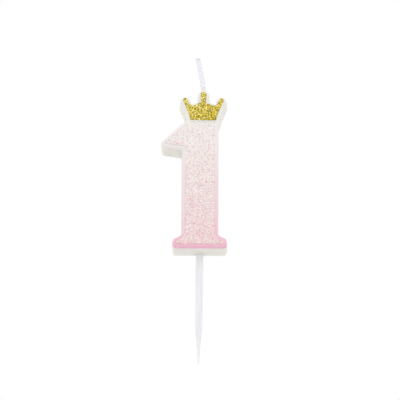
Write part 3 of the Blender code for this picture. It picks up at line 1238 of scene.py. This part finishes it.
@dataclass
class Pick:
    """The moulded pick, barbed where the wax holds it and pointed below.

    Its sizes are in millimetres.
    """

    neck: Span = (3.25, 2.20)
    head: Span = (2.35, 1.70)
    top: float = 22.0
    barbs: tuple[float, ...] = (15.0, 10.0, 5.0)
    barb_width: float = 3.80
    # Height, width and depth below the wax.
    shank: tuple[Point, ...] = (
        (-0.6, 3.25, 2.20), (-15.0, 3.08, 2.15), (-25.6, 3.00, 2.10), (-32.1, 2.80, 2.00),
        (-34.6, 2.45, 1.90), (-38.2, 1.80, 1.50), (-43.3, 1.05, 0.95), (-47.2, 0.62, 0.60),
        (-47.8, 0.30, 0.30))
    set_back: float = 3.8
    lean: float = 0.006
    corner: float = 0.7
    corner_share: float = 0.48
    squareness: float = 3.0
    sides: int = 64
    step: float = 0.35
    blur: Span = (0.5, 0.05)         # along the shank, and near its ends
    blur_span: Span = (-45.0, 20.0)
    parting: float = 0.035
    parting_width: float = 0.09

    def sections(self) -> list[Point]:
        """Height, width and depth of the sections, from the head down."""
        levels = [(self.top, *self.head), (self.top - 0.8, *self.neck)]
        for barb in self.barbs:
            levels += [(barb + 1.6, *self.neck), (barb + 0.25, self.barb_width, self.neck[1]),
                       (barb, self.barb_width, self.neck[1]), (barb - 0.25, *self.neck)]
        return [*levels, *self.shank]

    def heights(self) -> list[float]:
        """Heights of the rings, from the point up."""
        levels = [section[0] for section in self.sections()]
        fine = [*np.arange(min(levels), max(levels), self.step), *levels]
        return sorted(set(round(float(h), 3) for h in fine))

    def ring(self, height: float) -> Ring:
        """A rectangle with round corners and a fine parting ridge on its sides.

        Args:
            height: Height of the ring, in millimetres.

        Returns:
            Its points, in metres.
        """
        rising = sorted(self.sections())
        low, high = self.blur_span
        span = self.blur[0] if low < height < high else self.blur[1]
        width, depth = (
            sum(float(np.interp(height + d * span, [s[0] for s in rising],
                                [s[axis] for s in rising])) for d in (-1.0, 0.0, 1.0)) / 3.0
            for axis in (1, 2))
        round_part = min(self.corner, self.corner_share * width, self.corner_share * depth)
        flat_w, flat_d = width / 2.0 - round_part, depth / 2.0 - round_part
        full = math.tanh(self.squareness)
        points = []
        for k in range(self.sides):
            turn = FULL_TURN * (k + 0.5) / self.sides
            cosine, sine = math.cos(turn), math.sin(turn)
            x = flat_w * (math.tanh(self.squareness * cosine) / full) + round_part * cosine
            y = flat_d * (math.tanh(self.squareness * sine) / full) + round_part * sine
            ridge = self.parting * math.exp(-(y / self.parting_width) ** 2)
            points.append(Vector((
                self.lean * height + x + math.copysign(ridge, x),
                self.set_back + y, height)) * MM)
        return points

    def build(self) -> None:
        """Build and dress the pick."""
        rings = [self.ring(height) for height in self.heights()]
        skinned("moulded_pick", [rings], MouldedPolypropylene().material(),
                Slot.PLASTIC, "cake_pick")


# Studio ------------

@dataclass(frozen=True)
class Lamp:
    """A square soft lamp."""

    name: str
    place: Point
    size: float
    watts: float


@dataclass
class Studio:
    """White dome, pale floor, two soft lamps and the camera.

    The dome dims to the floor's tone at the horizon, so that no line shows there.
    """

    floor_height: float = -0.32
    floor_half: float = 7.0
    floor_cells: int = 24
    dome: str = "#FFFFFF"
    horizon: str = "#EDEDED"
    haze_top: float = 0.16
    lamps: tuple[Lamp, ...] = (
        Lamp("key_lamp", (0.35, -0.85, 0.50), 0.45, 0.75),
        Lamp("low_lamp", (-0.30, -0.85, -0.10), 0.60, 0.45))
    target: Point = (0.00005, 0.0, 0.02315)
    elevation: float = math.radians(-21.0)
    distance: float = 0.8
    roll: float = math.radians(0.3)
    lens: float = 170.0
    sensor: float = 36.0
    nearest: float = 0.01

    def lay_floor(self) -> None:
        """Lay the floor paper."""
        work = bmesh.new()
        bmesh.ops.create_grid(work, x_segments=self.floor_cells, y_segments=self.floor_cells,
                              size=self.floor_half)
        mesh = mesh_of("studio_floor", work)
        mesh.materials.append(MattPaper().material())
        floor = new_object("studio_floor", mesh)
        floor.location.z = self.floor_height

    def light_dome(self) -> None:
        """Light the scene evenly from all round."""
        world = bpy.data.worlds.new("white_dome")
        world.use_nodes = True
        tree = world.node_tree
        tree.nodes.clear()
        rise = axes_of(tree, coordinates_in(tree)["Generated"])["Z"]
        clear = mapped(tree, rise, (0.0, self.haze_top), soft=True)
        tone = ramp(tree, clear, ((0.0, self.horizon), (1.0, self.dome)))
        shine = add_node(tree, "ShaderNodeBackground", {"Color": tone, "Strength": 1.0})
        add_node(tree, "ShaderNodeOutputWorld", {"Surface": shine.outputs[0]})
        bpy.context.scene.world = world

    def hang(self, lamp: Lamp) -> None:
        """Hang a lamp, aimed at the candle."""
        light = bpy.data.lights.new(lamp.name, "AREA")
        light.shape = "SQUARE"
        light.size = lamp.size
        light.energy = lamp.watts
        holder = bpy.data.objects.new(lamp.name, light)
        aim = Vector(self.target) - Vector(lamp.place)
        holder.rotation_euler = aim.to_track_quat("-Z", "Y").to_euler()
        holder.location = lamp.place
        bpy.context.scene.collection.objects.link(holder)

    def set_camera(self) -> None:
        """Put the camera below the candle, looking up at its front."""
        back = Vector((0.0, -math.cos(self.elevation), math.sin(self.elevation)))
        right = (-back).cross(Vector((0.0, 0.0, 1.0))).normalized()
        up = right.cross(-back)
        turned = (right * math.cos(self.roll) + up * math.sin(self.roll),
                  up * math.cos(self.roll) - right * math.sin(self.roll))
        lens = bpy.data.cameras.new("camera")
        lens.lens = self.lens
        lens.sensor_width = self.sensor
        lens.clip_start = self.nearest
        camera = bpy.data.objects.new("camera", lens)
        camera_axes = Matrix((turned[0], turned[1], back)).transposed()
        camera.matrix_world = (
            Matrix.Translation(Vector(self.target) + back * self.distance)
            @ camera_axes.to_4x4())
        bpy.context.scene.collection.objects.link(camera)
        bpy.context.scene.camera = camera

    def build(self) -> None:
        """Set up everything round the candle."""
        bpy.context.scene.view_settings.view_transform = "Standard"
        self.set_camera()
        self.lay_floor()
        self.light_dome()
        for lamp in self.lamps:
            self.hang(lamp)


def main() -> None:
    """Build the candle and its studio."""
    logging.basicConfig(level=logging.INFO, format="%(name)s: %(message)s")
    Studio().build()
    wick = Wick()
    wick.build()
    casting = WaxCasting(wick).build()
    PinkCoat(casting).build()
    pearl_coat().build()
    gold_coat().build()
    Pick().build()


if __name__ == "__main__":
    main()
